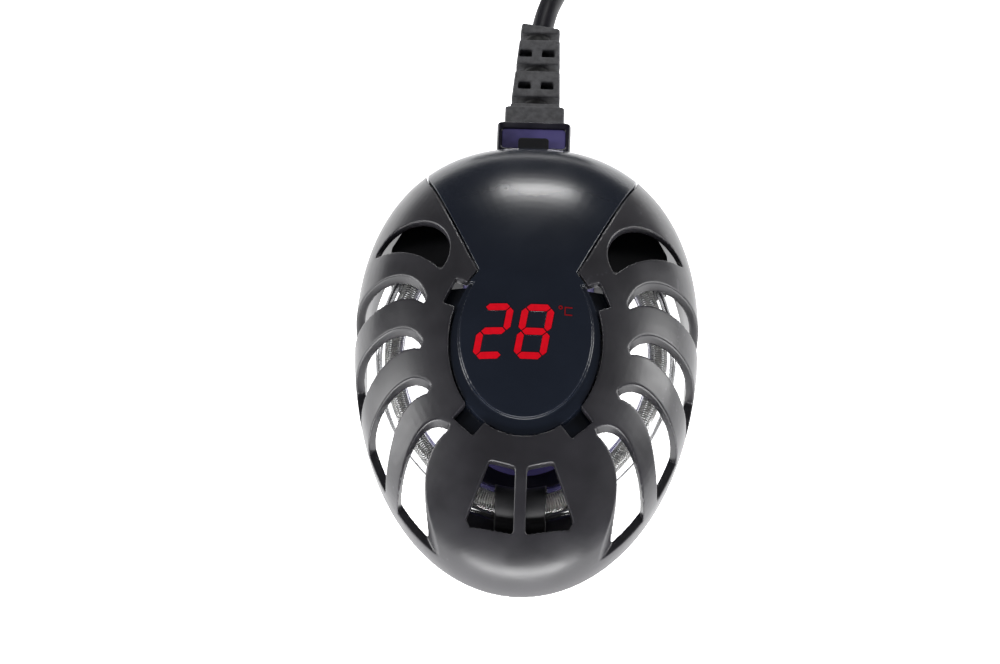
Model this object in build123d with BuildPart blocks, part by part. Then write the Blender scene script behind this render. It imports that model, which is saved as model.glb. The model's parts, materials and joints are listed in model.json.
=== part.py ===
from build123d import *
import math
import os

os.makedirs("parts", exist_ok=True)

# Frame: +Z up, nose towards -Y, cord towards +Y. The origin is under the middle of the heater,
# on the surface that its suction cups stand on. All sizes are millimetres.

# ---- driving dimensions: the egg-shaped outer form ----
HALF_WIDTH = 44.2
WIDEST_Y = 4.4
NOSE_LENGTH = 69.0
REAR_LENGTH = 53.5
FOOT = 6.0  # underside of the guard's ring above the surface
WALL_HEIGHT = 10.0  # upright part of the side
DOME_HEIGHT = 24.0
DOME_POWER = 2.1
NOSE_POWER = 2.0
REAR_POWER = 2.3
RISE = 0.12  # the dome's top climbs towards the cord
TUCK = 0.022  # how much the side draws in at its foot
BURIED = 14.0  # length of the form below its wall, cut off at FOOT
OUTLINE_POINTS = 32
DOME_STEPS = (0.25, 0.45, 0.62, 0.76, 0.87, 0.94, 0.98, 0.995)

# ---- guard ----
GUARD_WALL = 2.4
RING_TOP = FOOT + 5.5
ROOT_HEIGHT = FOOT + 28.0  # level at which the slots' outlines are drawn
SLOT_LEAN = 0.364  # the slots lean towards the nose as they go down
CUT_LENGTH = 60.0
SLAB_SIDE = 400.0
# Each slot: points of its rear edge from the root outwards, then of its front edge, at ROOT_HEIGHT.
SLOTS = (
    (
        ((25.6, 4.4), (33.0, 13.2), (41.0, 15.0), (48.0, 14.5)),
        ((26.0, 2.8), (31.5, 6.2), (38.0, 7.2), (48.0, 7.4)),
    ),
    (
        ((26.2, -6.7), (32.5, -1.3), (39.0, -0.9), (48.0, -3.5)),
        ((26.6, -8.4), (32.5, -7.4), (38.0, -9.4), (48.0, -18.0)),
    ),
    (
        ((23.6, -18.0), (29.5, -14.9), (36.0, -17.0), (43.0, -27.0)),
        ((24.4, -19.6), (31.0, -22.4), (33.8, -28.5), (36.0, -36.0)),
    ),
    (
        ((18.4, -27.8), (24.5, -26.6), (29.6, -32.5), (32.0, -42.0)),
        ((19.0, -29.2), (23.6, -34.2), (22.8, -43.6), (15.0, -53.0)),
    ),
)
# The closed, arched opening at each shoulder: root, rear edge, foot, front edge.
ARCH = ((22.2, 12.4), (29.6, 28.4), (39.4, 21.6), (31.0, 19.3))
# One of the two windows in the nose, in plan.
WINDOW = ((1.5, -40.0), (8.0, -38.4), (13.4, -51.2), (12.4, -53.0), (1.5, -55.0))
WINDOW_CORNER = 0.8

# ---- housing ----
OVAL_Y = -7.5
OVAL_HALF_WIDTH = 19.1
OVAL_HALF_LENGTH = 24.6
NECK_X = 12.4
SEAM_MIDDLE = (19.3, 26.2)
SHOULDER = (26.5, 43.0)
SEAM_END = (29.5, 66.0)
HOUSING_GAP = 0.4
HOUSING_WALL = 2.0
HOUSING_FLOOR = FOOT + 4.5
SPLIT = FOOT + 16.0
GASKET = 0.6
PAD = (-5.7, 16.9, 22.4)  # centre, half width and half length of the raised oval inside the ledge
LEDGE_DROP = 1.0
LEDGE_REAR_Y = 8.0
LIP_REACH = 4.2  # how far the oval's lip runs under the guard
LIP_THICKNESS = 1.0
NOTCH_LENGTH = 7.0
NOTCH_DEPTH = 2.4
SNAP_DROP = 5.0  # how far the snap ribs in the notches lie below the outer form
NOTCHES = ((17.6, 5.2, -65.0), (13.4, -28.2, 42.0))  # place and turn of the right-hand ones

# ---- tube and its fittings ----
TUBE_OUTER = 4.25
TUBE_INNER = 3.05
COIL_RADIUS = 2.35
TUBE_Z = FOOT + 13.1
NOSE_BEND = 26.0
NOSE_BEND_Y = -19.7
SIDE_BEND_X = 15.9
SIDE_BEND_Y = -1.2
SIDE_BEND = NOSE_BEND + math.hypot(SIDE_BEND_X, SIDE_BEND_Y - NOSE_BEND_Y)
TUBE_END_ANGLE = 33.0
TUBE_PLUG_LENGTH = 5.0
TUBE_PLUG_RADIUS = 2.7
SEAL_OUTLINE = ((12.0, 20.5), (36.0, 20.5), (35.5, 26.0), (30.0, 37.0), (12.0, 37.0))
SEAL_CORNER = 2.0
SEAL_HALF_HEIGHT = 7.0
LEAD_RADIUS = 0.9
LEAD_RUNS = (4.0, 12.0)
LEAD_ROW_Y = 31.0
LEAD_BEND = 1.6

# ---- base frame, screws and suction cups ----
PLATE_LOW = FOOT + 2.0
PLATE_MARGIN = 1.5
PLATE_REAR_Y = 50.0
TRAY = ((14.0, -27.0), (17.0, -46.0), (14.0, -56.0))  # half of the nose tray's outline
TRAY_FRONT_Y = -59.5
SCREW_PLACES = ((9.0, 2.0), (15.0, 34.0))
SCREW_RADIUS = 1.1
SCREW_HEAD_RADIUS = 2.6
SCREW_HEAD_HEIGHT = 1.4
SCREW_TOP = FOOT + 12.0
BOSS_RADIUS = 3.2
CUP_ROWS = (-20.0, 32.0)
CUP_RADIUS = 15.2
CUP_NECK = 3.4
CUP_HEAD = 5.2
CUP_HEAD_HEIGHT = 2.3
CUP_POCKET_RADIUS = 5.9
CUP_POCKET_DEPTH = 3.0
CUP_BOSS_RADIUS = 7.8
CUP_LIP = 0.7
CUP_HOLLOW = 3.2
CUP_SHOULDER = 4.6
SADDLE_HALF_WIDTH = 6.5
SADDLE_DEPTH = 11.0
SADDLE_CORNER = 1.5
COLLAR_WALL = 0.5  # rubber collar round the tube, on top of the saddle
RUNNING_FIT = 0.05

# ---- inside the housing ----
BOARD_LOW = SPLIT + 1.0
BOARD_THICKNESS = 1.6
BOARD_MARGIN = 3.2
BOARD_REAR_Y = 44.0
DIGIT_Y = -5.75
DIGIT_X = (-8.2, 2.1)
DIGIT_HEIGHT = 13.0
DIGIT_WIDTH = 6.5
DIGIT_STROKE = 1.7
DIGIT_SLANT = 0.15
DIGIT_DEPTH = 0.5
SEGMENT_GAP = 0.25
DEGREE_PLACE = (8.6, 1.1)
DEGREE_RADIUS = 0.55
DEGREE_STROKE = 0.3
UNIT_PLACE = (10.6, 0.2)
UNIT_SIZE = (2.0, 2.3)
FUSE_PLACE = (14.5, 28.0)
FUSE_RADIUS = 2.3
FUSE_LENGTH = 11.0
SENSOR_PLACE = (10.5, -22.0)
SENSOR_RADIUS = 1.4
SENSOR_LENGTH = 5.0
SENSOR_LEG = 0.3

# ---- cable entry ----
GLAND_HALF_WIDTH = 9.7
GLAND_INNER_Y = 50.0
GLAND_OUTER_Y = 66.0
GLAND_LOW = FOOT + 8.5
GLAND_TOP = FOOT + 20.5
GLAND_CORNER = 1.6
TONGUE = (8.0, 54.0, 60.0, 1.6)  # width, inner end, outer end, thickness
TONGUE_CORNER = 0.8
GLAND_SINK = (57.9, 64.0, 16.6, 0.8)  # the recess in its top: inner end, outer end, width, depth
GLAND_WINDOW_THICKNESS = 0.5
WIRE_X = 2.2
WIRE_RADIUS = 1.1
CORD_Z = FOOT + 14.5
RELIEF_STEM = (9.0, 7.5, 6.0)  # width, height and length of the part inside the gland box
RELIEF_COLLAR = (15.6, 10.6, 5.4)
RELIEF_ROOT = (13.2, 9.6)  # width and height where the taper leaves the collar
RELIEF_TIP = (10.4, 8.0)
RELIEF_SLOTS = (6.8, 11.6, 17.5, 22.2, 27.8)  # from the gland's outer face
RELIEF_SLOT = 2.3
RELIEF_CORE = 3.2  # radius of the round core left in the full slots
RELIEF_WINDOW = (3.0, 3.4, 1.5)  # the windows between them: place, width and half the height left between

# ---- cord ----
CORD = 5.8
COIL_CENTRE = (-2.5, 172.0)
COIL_INNER = 23.2
COIL_OUTER = 41.2
COIL_HEIGHT = 11.8
LEAD_ROUTE = (
    (0.7, 98.0, 20.3),
    (2.5, 109, 18.6),
    (6.5, 121.5, 13.0),
    (13.8, 134, 6.6),
    (24.6, 146.6, 3.4),
    (32.9, 159.6, 2.95),
    (35.5, 172, 2.95),
)
TAIL_ROUTE = ((31.9, 155.9, 8.85), (37.2, 167.8, 8.6), (40.1, 181.5, 6.9), (40.1, 193.5, 6.9))
CORNER_SHARE = 0.45
COIL_CORNER = 2.4
TIE_LENGTH = 12.0
TIE_THICKNESS = 0.8
TIE_CORNER = 2.0
# The plug: distance from the end of the cord, and the section's width and height.
PLUG_SECTIONS = (
    (0, (7.4, 7.4)),
    (22, (9.6, 9.6)),
    (24, (22.0, 12.4)),
    (30, (33.0, 13.8)),
    (56, (33.0, 13.8)),
    (58, (31.4, 12.4)),
)
PLUG_CORNER = 3.4
PIN_SPACING = 18.6
PIN_RADIUS = 2.0
PIN_LENGTH = 19.0

# ---- supply wires ----
WIRE_START_Y = GLAND_OUTER_Y - RELIEF_STEM[2]
WIRE_RISE_Y = (48.4, 46.6)
WIRE_END_Z = BOARD_LOW + 6.0
WIRE_END_Y = 43.6


def save(builder, name):
    """Labels a finished piece and writes its STEP."""
    builder.part.label = name
    export_step(builder.part, f"parts/{name}.step")


def egg_outline(scale, inset):
    """Points of the plan outline, on a plane whose origin is at the widest place."""
    side = HALF_WIDTH - inset
    tilt = math.hypot(1, RISE)
    points = []
    for index in range(OUTLINE_POINTS):
        angle = 2 * math.pi * index / OUTLINE_POINTS
        across, along = math.cos(angle), math.sin(angle)
        power, length = (NOSE_POWER, NOSE_LENGTH) if along < 0 else (REAR_POWER, REAR_LENGTH)
        x = math.copysign(abs(across) ** (2 / power), across) * side
        y = math.copysign(abs(along) ** (2 / power), along) * (length - inset)
        points.append((x * scale, y * scale * tilt))
    return points


def form_levels(inset):
    """(height over the wall's foot, scale of the plan outline) from the foot to the top."""
    levels = [(-BURIED, 1 - TUCK), (0, 1 - TUCK), (0.45 * WALL_HEIGHT, 1 - 0.3 * TUCK), (WALL_HEIGHT, 1)]
    for step in DOME_STEPS:
        scale = (1 - step**DOME_POWER) ** (1 / DOME_POWER)
        levels.append((WALL_HEIGHT + step * (DOME_HEIGHT - inset), scale))
    return levels


def outer_form(inset=0.0):
    """The heater's domed egg shape, drawn in by inset on every side but its foot."""
    with BuildPart() as form:
        for height, scale in form_levels(inset):
            level = Plane(origin=(0, WIDEST_Y, FOOT + height), x_dir=(1, 0, 0), z_dir=(0, -RISE, 1))
            with BuildSketch(level):
                with BuildLine():
                    Spline(*egg_outline(scale, inset), periodic=True)
                make_face()
        loft()
        split(bisect_by=Plane.XY.offset(FOOT), keep=Keep.TOP)
    return form.part


def keyhole(grow=0.0):
    """The housing's plan, grown by a margin: an oval, a neck, and shoulders that run off to the rear."""
    half_width, half_length = OVAL_HALF_WIDTH + grow, OVAL_HALF_LENGTH + grow
    turn = math.acos((NECK_X + grow) / half_width)
    neck_y = OVAL_Y + half_length * math.sin(turn)
    with BuildSketch() as plan:
        with BuildLine():
            EllipticalCenterArc(
                (0, OVAL_Y),
                half_width,
                half_length,
                start_angle=180 - math.degrees(turn),
                arc_size=180 + 2 * math.degrees(turn),
            )
            for side in (1, -1):
                seam = ((NECK_X, neck_y), SEAM_MIDDLE, SHOULDER, SEAM_END)
                neck, middle, shoulder, end = [(side * (x + grow), y) for x, y in seam]
                ThreePointArc(neck, middle, shoulder)
                Line(shoulder, end)
            rear_x = SEAM_END[0] + grow
            Line((rear_x, SEAM_END[1]), (-rear_x, SEAM_END[1]))
        make_face()
    return plan.sketch


# ---- guard ----
outer = outer_form()
inner = outer_form(GUARD_WALL)
with BuildPart() as guard:
    add(outer)
    add(inner, mode=Mode.SUBTRACT)
    with BuildSketch():
        add(keyhole(HOUSING_GAP))
    extrude(amount=CUT_LENGTH, mode=Mode.SUBTRACT)
    for side in (1, -1):
        for rear_edge, front_edge in SLOTS:
            drop = SLOT_LEAN * (ROOT_HEIGHT - RING_TOP)
            rear_points = [(side * x, y - drop) for x, y in rear_edge]
            front_points = [(side * x, y - drop) for x, y in front_edge]
            with BuildSketch(Plane.XY.offset(RING_TOP)):
                with BuildLine():
                    Spline(*rear_points)
                    Spline(*front_points)
                    Line(rear_points[0], front_points[0])
                    Line(rear_points[-1], front_points[-1])
                make_face()
            extrude(amount=CUT_LENGTH, dir=(0, SLOT_LEAN, 1), mode=Mode.SUBTRACT)
        root, rear_peak, foot, front_peak = [(side * x, y) for x, y in ARCH]
        with BuildSketch(Plane.XY.offset(RING_TOP)):
            with BuildLine():
                ThreePointArc(root, rear_peak, foot)
                ThreePointArc(root, front_peak, foot)
            make_face()
        extrude(amount=CUT_LENGTH, mode=Mode.SUBTRACT)
        with BuildSketch() as window:
            with BuildLine():
                Polyline(*[(side * x, y) for x, y in WINDOW], close=True)
            make_face()
            fillet(window.vertices(), WINDOW_CORNER)
        extrude(amount=CUT_LENGTH, mode=Mode.SUBTRACT)
        for x, y, turn in NOTCHES:
            with BuildSketch() as notch:
                with Locations(Location((side * x, y), side * turn)):
                    Rectangle(NOTCH_LENGTH, 2 * NOTCH_DEPTH)
            extrude(amount=CUT_LENGTH, mode=Mode.SUBTRACT)
save(guard, "guard")


# ---- the housing's block, cavity and top skin ----
with BuildPart() as housing_block:
    add(outer)
    with BuildSketch(Plane.XY.offset(HOUSING_FLOOR)):
        add(keyhole())
    extrude(amount=CUT_LENGTH, mode=Mode.INTERSECT)

with BuildPart() as cavity:
    add(inner)
    with BuildSketch(Plane.XY.offset(HOUSING_FLOOR + HOUSING_WALL)):
        add(keyhole(-HOUSING_WALL))
    extrude(amount=CUT_LENGTH, mode=Mode.INTERSECT)

with BuildPart() as gland_form:
    with BuildSketch(Plane.XZ.offset(-GLAND_OUTER_Y)):
        with Locations((0, (GLAND_LOW + GLAND_TOP) / 2)):
            RectangleRounded(2 * GLAND_HALF_WIDTH, GLAND_TOP - GLAND_LOW, GLAND_CORNER)
    extrude(amount=GLAND_OUTER_Y - GLAND_INNER_Y)


def tube_path(first, last):
    """The tube's line at TUBE_Z: a side bend, the nose bend and a side bend, from angle first to last."""
    joint = math.degrees(math.atan2(SIDE_BEND_Y - NOSE_BEND_Y, SIDE_BEND_X))
    with BuildLine(Plane.XY.offset(TUBE_Z)) as path:
        CenterArc((-SIDE_BEND_X, SIDE_BEND_Y), SIDE_BEND, -joint, first + joint)
        CenterArc((0, NOSE_BEND_Y), NOSE_BEND, 180 + joint, 180 - 2 * joint)
        CenterArc((SIDE_BEND_X, SIDE_BEND_Y), SIDE_BEND, 180 - last, last + joint)
    return path.line


def tube_end(side, angle):
    """Plane across the tube at an angle along its side bend, facing out of the tube's end."""
    turn = math.radians(angle)
    x = side * (SIDE_BEND * math.cos(turn) - SIDE_BEND_X)
    y = SIDE_BEND * math.sin(turn) + SIDE_BEND_Y
    along = (-side * math.sin(turn), math.cos(turn), 0)
    return Plane(origin=(x, y, TUBE_Z), x_dir=(0, 0, 1), z_dir=along)


def rod_along(path, radius):
    """A round rod swept along a line at its first end's plane."""
    with BuildPart() as rod:
        add(path)
        with BuildSketch(Plane(origin=path @ 0, z_dir=path % 0)):
            Circle(radius)
        sweep()
    return rod.part


# ---- quartz tube, heating coil and the tube's end plugs ----
full_path = tube_path(TUBE_END_ANGLE, TUBE_END_ANGLE)
coil_angle = TUBE_END_ANGLE - math.degrees((TUBE_PLUG_LENGTH + 1) / SIDE_BEND)
coil_path = tube_path(coil_angle, coil_angle)
with BuildPart() as quartz_tube:
    add(rod_along(full_path, TUBE_OUTER))
    add(rod_along(full_path, TUBE_INNER), mode=Mode.SUBTRACT)
save(quartz_tube, "quartz_tube")

with BuildPart() as heating_coil:
    add(rod_along(coil_path, COIL_RADIUS))
save(heating_coil, "heating_coil")

SIDES = {"left": -1, "right": 1}
lead_paths = {}
for name, side in SIDES.items():
    end = tube_end(side, TUBE_END_ANGLE)
    with BuildPart() as tube_plug:
        with BuildSketch(end):
            Circle(TUBE_PLUG_RADIUS)
        extrude(amount=-TUBE_PLUG_LENGTH)
    save(tube_plug, f"tube_plug_{name}")

    with BuildLine() as lead_line:
        start = end.origin
        FilletPolyline(
            start,
            start + end.z_dir * LEAD_RUNS[0],
            (side * LEAD_RUNS[1], LEAD_ROW_Y, TUBE_Z),
            (side * LEAD_RUNS[1], LEAD_ROW_Y, BOARD_LOW),
            radius=LEAD_BEND,
        )
    lead_paths[name] = lead_line.line
    with BuildPart() as lead_wire:
        add(rod_along(lead_line.line, LEAD_RADIUS))
    save(lead_wire, f"lead_wire_{name}")

    with BuildPart() as seal_block:
        with BuildSketch(Plane.XY.offset(TUBE_Z)):
            with BuildLine():
                Polyline(*[(side * x, y) for x, y in SEAL_OUTLINE], close=True)
            make_face()
        extrude(amount=SEAL_HALF_HEIGHT, both=True)
        outermost = seal_block.edges().filter_by(Axis.Z).sort_by(lambda edge: abs(edge.center().X))[-2:]
        fillet(outermost, SEAL_CORNER)
        with BuildSketch(Plane.XY.offset(HOUSING_FLOOR)):
            add(keyhole())
        extrude(amount=CUT_LENGTH, mode=Mode.SUBTRACT)
        add(rod_along(full_path, TUBE_OUTER + RUNNING_FIT), mode=Mode.SUBTRACT)
        add(rod_along(lead_line.line, LEAD_RADIUS + RUNNING_FIT), mode=Mode.SUBTRACT)
    save(seal_block, f"seal_block_{name}")


# ---- housing bottom: the tub, with posts for the board, bosses for the screws and the cups' heads ----
def slab(low, high):
    """A flat block over the whole plan between two heights."""
    return Pos(0, 0, low) * Box(
        SLAB_SIDE, SLAB_SIDE, high - low, align=(Align.CENTER, Align.CENTER, Align.MIN), mode=Mode.PRIVATE
    )


post_places = [(side * x, y) for x, y in SCREW_PLACES for side in (1, -1)]
cup_places = [(0, y) for y in CUP_ROWS]
with BuildPart() as housing_bottom:
    add(housing_block.part)
    add(cavity.part, mode=Mode.SUBTRACT)
    add(slab(HOUSING_FLOOR, SPLIT), mode=Mode.INTERSECT)
    with BuildSketch(Plane.XY.offset(HOUSING_FLOOR)):
        with Locations(*post_places):
            Circle(BOSS_RADIUS)
    extrude(amount=BOARD_LOW - HOUSING_FLOOR)
    with BuildSketch(Plane.XY.offset(HOUSING_FLOOR)):
        with Locations(*cup_places):
            Circle(CUP_BOSS_RADIUS)
    extrude(amount=CUP_POCKET_DEPTH + HOUSING_WALL)
    with BuildSketch(Plane.XY.offset(HOUSING_FLOOR)):
        with Locations(*cup_places):
            Circle(CUP_POCKET_RADIUS)
    extrude(amount=CUP_POCKET_DEPTH, mode=Mode.SUBTRACT)
    with BuildSketch(Plane.XY.offset(HOUSING_FLOOR)):
        with Locations(*post_places):
            Circle(SCREW_RADIUS + RUNNING_FIT)
    extrude(amount=SCREW_TOP - HOUSING_FLOOR, mode=Mode.SUBTRACT)
    add(gland_form.part, mode=Mode.SUBTRACT)
    for lead_path in lead_paths.values():
        add(rod_along(lead_path, LEAD_RADIUS + RUNNING_FIT), mode=Mode.SUBTRACT)
save(housing_bottom, "housing_bottom")

with BuildPart() as housing_seal:
    add(housing_block.part)
    add(cavity.part, mode=Mode.SUBTRACT)
    add(slab(SPLIT, SPLIT + GASKET), mode=Mode.INTERSECT)
    add(gland_form.part, mode=Mode.SUBTRACT)
save(housing_seal, "housing_seal")

# ---- display digits, laid flush into the window ----
def digit_segments(centre_x, segments):
    """Outlines of a seven-segment digit's lit bars, slanted to the right."""
    half_width, half_height = DIGIT_WIDTH / 2, DIGIT_HEIGHT / 2
    middle = half_height / 2
    bars = {
        "a": (0, half_height, 0),
        "g": (0, 0, 0),
        "d": (0, -half_height, 0),
        "f": (-half_width, middle, 90),
        "b": (half_width, middle, 90),
        "e": (-half_width, -middle, 90),
        "c": (half_width, -middle, 90),
    }
    for bar in segments:
        x, y, turn = bars[bar]
        length = (DIGIT_WIDTH if turn == 0 else half_height) - 2 * SEGMENT_GAP
        half, stroke = length / 2, DIGIT_STROKE / 2
        tip = half - stroke
        corners = ((-half, 0), (-tip, stroke), (tip, stroke), (half, 0), (tip, -stroke), (-tip, -stroke))
        if turn:
            corners = [(-q, p) for p, q in corners]
        yield [(centre_x + x + p + DIGIT_SLANT * (y + q), DIGIT_Y + y + q) for p, q in corners]


LIT = {DIGIT_X[0]: "abged", DIGIT_X[1]: "abcdefg"}
with BuildPart() as digit_prisms:
    with BuildSketch(Plane.XY.offset(SPLIT)):
        for digit_x, lit in LIT.items():
            for corners in digit_segments(digit_x, lit):
                with BuildLine():
                    Polyline(*corners, close=True)
                make_face()
        with Locations(DEGREE_PLACE):
            Circle(DEGREE_RADIUS)
            Circle(DEGREE_RADIUS - DEGREE_STROKE, mode=Mode.SUBTRACT)
        with Locations(UNIT_PLACE):
            Rectangle(UNIT_SIZE[0], UNIT_SIZE[1])
            with Locations((DEGREE_STROKE, 0)):
                Rectangle(UNIT_SIZE[0], UNIT_SIZE[1] - 2 * DEGREE_STROKE, mode=Mode.SUBTRACT)
    extrude(amount=CUT_LENGTH)

with BuildPart() as display_digits:
    add(digit_prisms.part)
    add(outer, mode=Mode.INTERSECT)
    add(Pos(0, 0, -DIGIT_DEPTH) * outer, mode=Mode.SUBTRACT)
save(display_digits, "display_digits")
print("digits", len(display_digits.part.solids()))

# ---- housing top: the panel, the ledge and lip round its oval, the snap ribs and the tongue's slot ----
with BuildPart() as rear_tongue:
    width, inner_y, outer_y, thickness = TONGUE
    with BuildSketch(Plane.XY.offset(GLAND_TOP)):
        with Locations((0, (inner_y + outer_y) / 2)):
            RectangleRounded(width, outer_y - inner_y, TONGUE_CORNER)
    extrude(amount=thickness)
save(rear_tongue, "rear_tongue")

lowered = Pos(0, 0, -LEDGE_DROP) * outer
with BuildPart() as ledge_cut:
    with BuildSketch(Plane.XY.offset(SPLIT)):
        with Locations((0, OVAL_Y)):
            Ellipse(OVAL_HALF_WIDTH + HOUSING_GAP, OVAL_HALF_LENGTH + HOUSING_GAP)
        with Locations((0, PAD[0])):
            Ellipse(PAD[1], PAD[2], mode=Mode.SUBTRACT)
        with Locations((0, LEDGE_REAR_Y)):
            Rectangle(SLAB_SIDE, SLAB_SIDE, align=(Align.CENTER, Align.MIN), mode=Mode.SUBTRACT)
    extrude(amount=CUT_LENGTH)
    add(lowered, mode=Mode.SUBTRACT)

with BuildPart() as oval_lip:
    with BuildSketch(Plane.XY.offset(SPLIT)):
        with Locations((0, OVAL_Y)):
            Ellipse(OVAL_HALF_WIDTH + LIP_REACH, OVAL_HALF_LENGTH + LIP_REACH)
        with Locations((0, LEDGE_REAR_Y)):
            Rectangle(SLAB_SIDE, SLAB_SIDE, align=(Align.CENTER, Align.MIN), mode=Mode.SUBTRACT)
    extrude(amount=CUT_LENGTH)
    add(Pos(0, 0, -HOUSING_GAP) * inner, mode=Mode.INTERSECT)
    add(Pos(0, 0, -HOUSING_GAP - LIP_THICKNESS) * inner, mode=Mode.SUBTRACT)

with BuildPart() as snap_ribs:
    with BuildSketch(Plane.XY.offset(SPLIT + GASKET)):
        for side in (1, -1):
            for x, y, turn in NOTCHES:
                with Locations(Location((side * x, y), side * turn)):
                    Rectangle(NOTCH_LENGTH - 2 * HOUSING_GAP, 2 * (NOTCH_DEPTH - HOUSING_GAP))
    extrude(amount=CUT_LENGTH)
    add(Pos(0, 0, -SNAP_DROP) * outer, mode=Mode.INTERSECT)

with BuildPart() as housing_top:
    add(housing_block.part)
    add(ledge_cut.part, mode=Mode.SUBTRACT)
    add(snap_ribs.part)
    add(oval_lip.part)
    add(cavity.part, mode=Mode.SUBTRACT)
    add(slab(SPLIT + GASKET, SPLIT + CUT_LENGTH), mode=Mode.INTERSECT)
    add(digit_prisms.part & (outer - Pos(0, 0, -DIGIT_DEPTH) * outer), mode=Mode.SUBTRACT)
    add(gland_form.part, mode=Mode.SUBTRACT)
    add(rear_tongue.part, mode=Mode.SUBTRACT)
save(housing_top, "housing_top")

# ---- circuit board and what stands on it ----
board_top = BOARD_LOW + BOARD_THICKNESS
with BuildPart() as circuit_board:
    with BuildSketch(Plane.XY.offset(BOARD_LOW)):
        add(keyhole(-BOARD_MARGIN))
        with Locations((0, BOARD_REAR_Y)):
            Rectangle(SLAB_SIDE, SLAB_SIDE, align=(Align.CENTER, Align.MIN), mode=Mode.SUBTRACT)
    extrude(amount=BOARD_THICKNESS)
save(circuit_board, "circuit_board")

# Box-shaped parts on the board: centre, size and corner radius.
ON_BOARD = {
    "led_display": ((0, DIGIT_Y), (27.0, 18.0, 7.0), 0.6),
    "relay": ((-5.5, 29.0), (15.5, 12.0, 10.5), 0.5),
    "capacitor": ((9.0, 22.5), (5.0, 10.0, 8.5), 0.8),
    "terminal_block": ((0, 40.4), (14.0, 6.4, 8.0), 0.3),
}
for name, (centre, (width, length, height), corner) in ON_BOARD.items():
    with BuildPart() as component:
        with BuildSketch(Plane.XY.offset(board_top)):
            with Locations(centre):
                RectangleRounded(width, length, corner)
        extrude(amount=height)
    save(component, name)

with BuildPart() as fuse:
    with BuildSketch(Plane(origin=(FUSE_PLACE[0], FUSE_PLACE[1], board_top + FUSE_RADIUS), z_dir=(0, 1, 0))):
        Circle(FUSE_RADIUS)
    extrude(amount=FUSE_LENGTH)
save(fuse, "fuse")

with BuildPart() as temperature_sensor:
    with BuildSketch(Plane.XY.offset(HOUSING_FLOOR + HOUSING_WALL)):
        with Locations(SENSOR_PLACE):
            Circle(SENSOR_RADIUS)
    extrude(amount=SENSOR_LENGTH)
    with BuildSketch(Plane.XY.offset(HOUSING_FLOOR + HOUSING_WALL + SENSOR_LENGTH)):
        with Locations(SENSOR_PLACE):
            with Locations((SENSOR_RADIUS / 2, 0), (-SENSOR_RADIUS / 2, 0)):
                Circle(SENSOR_LEG)
    extrude(amount=BOARD_LOW - HOUSING_FLOOR - HOUSING_WALL - SENSOR_LENGTH)
save(temperature_sensor, "temperature_sensor")

# ---- base frame under the housing, its screws and the saddle that holds the tube ----
with BuildPart() as base_frame:
    with BuildSketch(Plane.XY.offset(PLATE_LOW)):
        add(keyhole(-PLATE_MARGIN))
        with Locations((0, PLATE_REAR_Y)):
            Rectangle(SLAB_SIDE, SLAB_SIDE, align=(Align.CENTER, Align.MIN), mode=Mode.SUBTRACT)
        with BuildLine():
            (inner_x, inner_y), (middle_x, middle_y), (outer_x, outer_y) = TRAY
            ThreePointArc((outer_x, outer_y), (0, TRAY_FRONT_Y), (-outer_x, outer_y))
            Polyline((outer_x, outer_y), (middle_x, middle_y), (inner_x, inner_y), (-inner_x, inner_y))
            Polyline((-inner_x, inner_y), (-middle_x, middle_y), (-outer_x, outer_y))
        make_face()
    extrude(amount=HOUSING_FLOOR - PLATE_LOW)
    with BuildSketch(Plane.XY.offset(PLATE_LOW)):
        with Locations(*cup_places):
            Circle(CUP_NECK + RUNNING_FIT)
        with Locations(*post_places):
            Circle(SCREW_RADIUS + RUNNING_FIT)
    extrude(amount=HOUSING_FLOOR - PLATE_LOW, mode=Mode.SUBTRACT)
    with BuildSketch(Plane.XY.offset(PLATE_LOW)):
        with Locations(*post_places):
            Circle(SCREW_HEAD_RADIUS + RUNNING_FIT)
    extrude(amount=SCREW_HEAD_HEIGHT, mode=Mode.SUBTRACT)
save(base_frame, "base_frame")

with BuildPart() as base_screws:
    with BuildSketch(Plane.XY.offset(PLATE_LOW)):
        with Locations(*post_places):
            Circle(SCREW_HEAD_RADIUS)
    extrude(amount=SCREW_HEAD_HEIGHT)
    with BuildSketch(Plane.XY.offset(PLATE_LOW)):
        with Locations(*post_places):
            Circle(SCREW_RADIUS)
    extrude(amount=SCREW_TOP - PLATE_LOW)
save(base_screws, "base_screws")

nose_y = NOSE_BEND_Y - NOSE_BEND
with BuildPart() as tube_collar:
    add(rod_along(full_path, TUBE_OUTER + COLLAR_WALL))
    with Locations((0, nose_y, TUBE_Z)):
        Box(2 * SADDLE_HALF_WIDTH, 2 * SADDLE_DEPTH, 2 * SADDLE_DEPTH, mode=Mode.INTERSECT)

with BuildPart() as tube_holder:
    with BuildSketch(Plane.YZ.offset(-SADDLE_HALF_WIDTH)):
        with Locations((nose_y, (HOUSING_FLOOR + TUBE_Z) / 2)):
            RectangleRounded(SADDLE_DEPTH, TUBE_Z - HOUSING_FLOOR, SADDLE_CORNER)
    extrude(amount=2 * SADDLE_HALF_WIDTH)
    add(tube_collar.part)
    add(rod_along(full_path, TUBE_OUTER + RUNNING_FIT), mode=Mode.SUBTRACT)
save(tube_holder, "tube_holder")

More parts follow.
